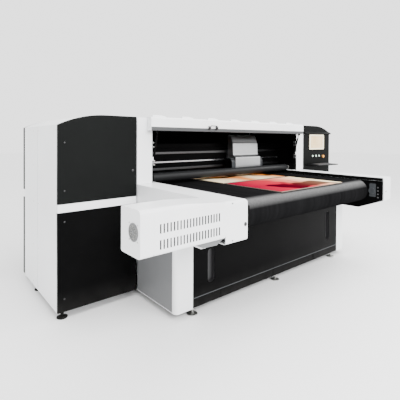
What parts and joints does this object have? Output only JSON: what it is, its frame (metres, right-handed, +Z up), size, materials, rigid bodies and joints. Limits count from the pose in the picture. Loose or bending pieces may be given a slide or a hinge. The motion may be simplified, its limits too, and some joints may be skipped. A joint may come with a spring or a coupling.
{
  "type": "flatbed uv printer",
  "caption": "Belt-fed flatbed UV printer: a gantry with a travelling print carriage between two tall cabinets, over a conveyor with a drive box.",
  "frame": {"origin": "on the floor, at the centre of the whole machine's outline", "axes": "+X across the belt towards the control panel side, -Y towards the output end of the belt, +Z up"},
  "size_m": [4.58, 2.924, 1.884],
  "materials": {
    "white_paint": "semi-gloss powder coat",
    "black_paint": "gloss powder coat",
    "charcoal_paint": "gloss powder coat",
    "grey_paint": "satin paint",
    "bright_steel": "ground",
    "dark_steel": "satin",
    "silver_sheet": "satin sheet",
    "belt_rubber": "matt",
    "black_plastic": "fine texture",
    "button_plastic": "gloss",
    "amber_plastic": "gloss",
    "screen": "glossy display",
    "ink_black": "gloss",
    "ink_cyan": "gloss",
    "ink_magenta": "gloss",
    "ink_yellow": "gloss",
    "board_print": "satin print"
  },
  "bodies": {
    "machine": {"left_cabinet_shell": "white_paint", "left_cabinet_plinth": "black_paint", "right_cabinet_shell": "white_paint", "right_cabinet_plinth": "black_paint", "ink_tank_black": "ink_black", "ink_tank_cyan": "ink_cyan", "ink_tank_magenta": "ink_magenta", "ink_tank_yellow": "ink_yellow", "control_panel": "black_paint", "touch_screen": "screen", "gantry_housing": "white_paint", "gantry_beam": "black_paint", "guide_rail_upper": "bright_steel", "guide_rail_lower": "bright_steel", "conveyor_frame": "black_paint", "conveyor_belt": "belt_rubber", "left_side_cover": "white_paint", "right_side_cover": "white_paint", "drive_cover": "white_paint", "drive_cover_left_cap": "white_paint", "drive_cover_right_cap": "white_paint", "fan_guard": "grey_paint", "drive_motor": "dark_steel", "timing_belt": "belt_rubber", "base_frame": "black_paint", "front_base_panel": "black_paint", "rear_base_panel": "black_paint", "base_side_cover_left": "white_paint", "base_side_cover_right": "white_paint", "levelling_foot_left": "grey_paint", "levelling_foot_middle": "grey_paint", "levelling_foot_right": "grey_paint"},
    "carriage": {"carriage_frame": "dark_steel"},
    "head_block": {"carriage_cover": "silver_sheet", "print_head_bank": "dark_steel", "uv_lamp_left": "black_paint", "uv_lamp_right": "black_paint"},
    "hood": {"front_hood": "white_paint"},
    "left_strut_tube": {"strut_tube_left": "black_paint"},
    "left_strut_rod": {"strut_rod_left": "bright_steel"},
    "right_strut_tube": {"strut_tube_right": "black_paint"},
    "right_strut_rod": {"strut_rod_right": "bright_steel"},
    "upper_left_door": {"left_upper_door": "charcoal_paint"},
    "lower_left_door": {"left_lower_door": "black_paint"},
    "upper_left_rear_door": {"left_upper_rear_door": "black_paint"},
    "lower_left_rear_door": {"left_lower_rear_door": "black_paint"},
    "lower_right_door": {"right_lower_door": "black_paint"},
    "rear_right_door": {"right_rear_door": "black_paint"},
    "tray": {"keyboard_tray": "black_plastic"},
    "power_key": {"power_button": "button_plastic"},
    "vacuum_key": {"vacuum_button": "button_plastic"},
    "feed_key": {"feed_button": "button_plastic"},
    "stop_key": {"emergency_stop": "amber_plastic"},
    "drive_drum": {"front_roller": "bright_steel"},
    "idler_drum": {"rear_roller": "bright_steel"},
    "pulley": {"motor_pulley": "bright_steel"},
    "nip_roller": {"guide_roller": "dark_steel"},
    "fan": {"fan_rotor": "black_plastic"},
    "front_board": {"printed_board_front": "board_print"},
    "rear_board": {"printed_board_rear": "board_print"}
  },
  "joints": [
    {"name": "carriage_travel", "type": "slide", "parent": "machine", "child": "carriage", "axis": [1, 0, 0], "range_m": [-1.61, 0.65]},
    {"name": "head_lift", "type": "slide", "parent": "carriage", "child": "head_block", "axis": [0, 0, 1], "range_m": [-0.05, 0.03]},
    {"name": "hood_hinge", "type": "hinge", "parent": "machine", "child": "hood", "pos_m": [0, -0.06, 1.866], "axis": [-1, 0, 0], "range_deg": [0, 60]},
    {"name": "left_strut_pivot", "type": "hinge", "parent": "machine", "child": "left_strut_tube", "pos_m": [-1.285, -0.12, 1.409], "axis": [1, 0, 0], "range_deg": [0, 2]},
    {"name": "left_strut_stroke", "type": "slide", "parent": "left_strut_tube", "child": "left_strut_rod", "axis": [0, -0.2651, 0.9642], "range_m": [0, 0.218]},
    {"name": "right_strut_pivot", "type": "hinge", "parent": "machine", "child": "right_strut_tube", "pos_m": [1.285, -0.12, 1.409], "axis": [1, 0, 0], "range_deg": [0, 2]},
    {"name": "right_strut_stroke", "type": "slide", "parent": "right_strut_tube", "child": "right_strut_rod", "axis": [0, -0.2651, 0.9642], "range_m": [0, 0.218]},
    {"name": "left_upper_door_hinge", "type": "hinge", "parent": "machine", "child": "upper_left_door", "pos_m": [-2.289, -0.14, 1.4], "axis": [0, 0, -1], "range_deg": [0, 110]},
    {"name": "left_lower_door_hinge", "type": "hinge", "parent": "machine", "child": "lower_left_door", "pos_m": [-2.289, -0.14, 0.5], "axis": [0, 0, -1], "range_deg": [0, 110]},
    {"name": "left_upper_rear_hinge", "type": "hinge", "parent": "machine", "child": "upper_left_rear_door", "pos_m": [-2.2902, 1.0263, 1.4], "axis": [0, 0, 1], "range_deg": [0, 110]},
    {"name": "left_lower_rear_hinge", "type": "hinge", "parent": "machine", "child": "lower_left_rear_door", "pos_m": [-2.2902, 1.0263, 0.5], "axis": [0, 0, 1], "range_deg": [0, 110]},
    {"name": "right_lower_door_hinge", "type": "hinge", "parent": "machine", "child": "lower_right_door", "pos_m": [2.289, -0.14, 0.5], "axis": [0, 0, 1], "range_deg": [0, 110]},
    {"name": "right_rear_hinge", "type": "hinge", "parent": "machine", "child": "rear_right_door", "pos_m": [2.2902, 1.0263, 1], "axis": [0, 0, -1], "range_deg": [0, 110]},
    {"name": "keyboard_fold", "type": "hinge", "parent": "machine", "child": "tray", "pos_m": [1.89, -0.143, 1.205], "axis": [1, 0, 0], "range_deg": [0, 90]},
    {"name": "power_press", "type": "slide", "parent": "machine", "child": "power_key", "axis": [0, 1, 0], "range_m": [0, 0.004], "stiffness_N_per_m": 400, "springref_m": -0.001},
    {"name": "vacuum_press", "type": "slide", "parent": "machine", "child": "vacuum_key", "axis": [0, 1, 0], "range_m": [0, 0.004], "stiffness_N_per_m": 400, "springref_m": -0.001},
    {"name": "feed_press", "type": "slide", "parent": "machine", "child": "feed_key", "axis": [0, 1, 0], "range_m": [0, 0.004], "stiffness_N_per_m": 400, "springref_m": -0.001},
    {"name": "stop_press", "type": "slide", "parent": "machine", "child": "stop_key", "axis": [0, 1, 0], "range_m": [0, 0.008], "stiffness_N_per_m": 600, "springref_m": -0.001},
    {"name": "drive_drum_turn", "type": "hinge", "parent": "machine", "child": "drive_drum", "pos_m": [0, -1.135, 0.96], "axis": [1, 0, 0], "continuous": true},
    {"name": "idler_drum_turn", "type": "hinge", "parent": "machine", "child": "idler_drum", "pos_m": [0, 1.135, 0.96], "axis": [1, 0, 0], "continuous": true},
    {"name": "pulley_turn", "type": "hinge", "parent": "machine", "child": "pulley", "pos_m": [-1.313, -1.372, 1.022], "axis": [1, 0, 0], "continuous": true},
    {"name": "nip_roller_turn", "type": "hinge", "parent": "machine", "child": "nip_roller", "pos_m": [0, 0.01, 1.187], "axis": [1, 0, 0], "continuous": true},
    {"name": "fan_turn", "type": "hinge", "parent": "machine", "child": "fan", "pos_m": [-2.196, -1.38, 1.044], "axis": [1, 0, 0], "continuous": true},
    {"name": "front_board_feed", "type": "slide", "parent": "machine", "child": "front_board", "axis": [0, 1, 0], "range_m": [-0.1, 0.7]},
    {"name": "rear_board_feed", "type": "slide", "parent": "machine", "child": "rear_board", "axis": [0, 1, 0], "range_m": [-0.1, 0.7]}
  ],
  "couplings": [
    {"joint": "left_strut_pivot", "follows": "hood_hinge", "ratio": 0.0313},
    {"joint": "left_strut_stroke", "follows": "hood_hinge", "m_per_rad": 0.2069},
    {"joint": "right_strut_pivot", "follows": "hood_hinge", "ratio": 0.0313},
    {"joint": "right_strut_stroke", "follows": "hood_hinge", "m_per_rad": 0.2069},
    {"joint": "idler_drum_turn", "follows": "drive_drum_turn", "ratio": 1},
    {"joint": "pulley_turn", "follows": "drive_drum_turn", "ratio": 3},
    {"joint": "rear_board_feed", "follows": "front_board_feed", "ratio": 1}
  ]
}
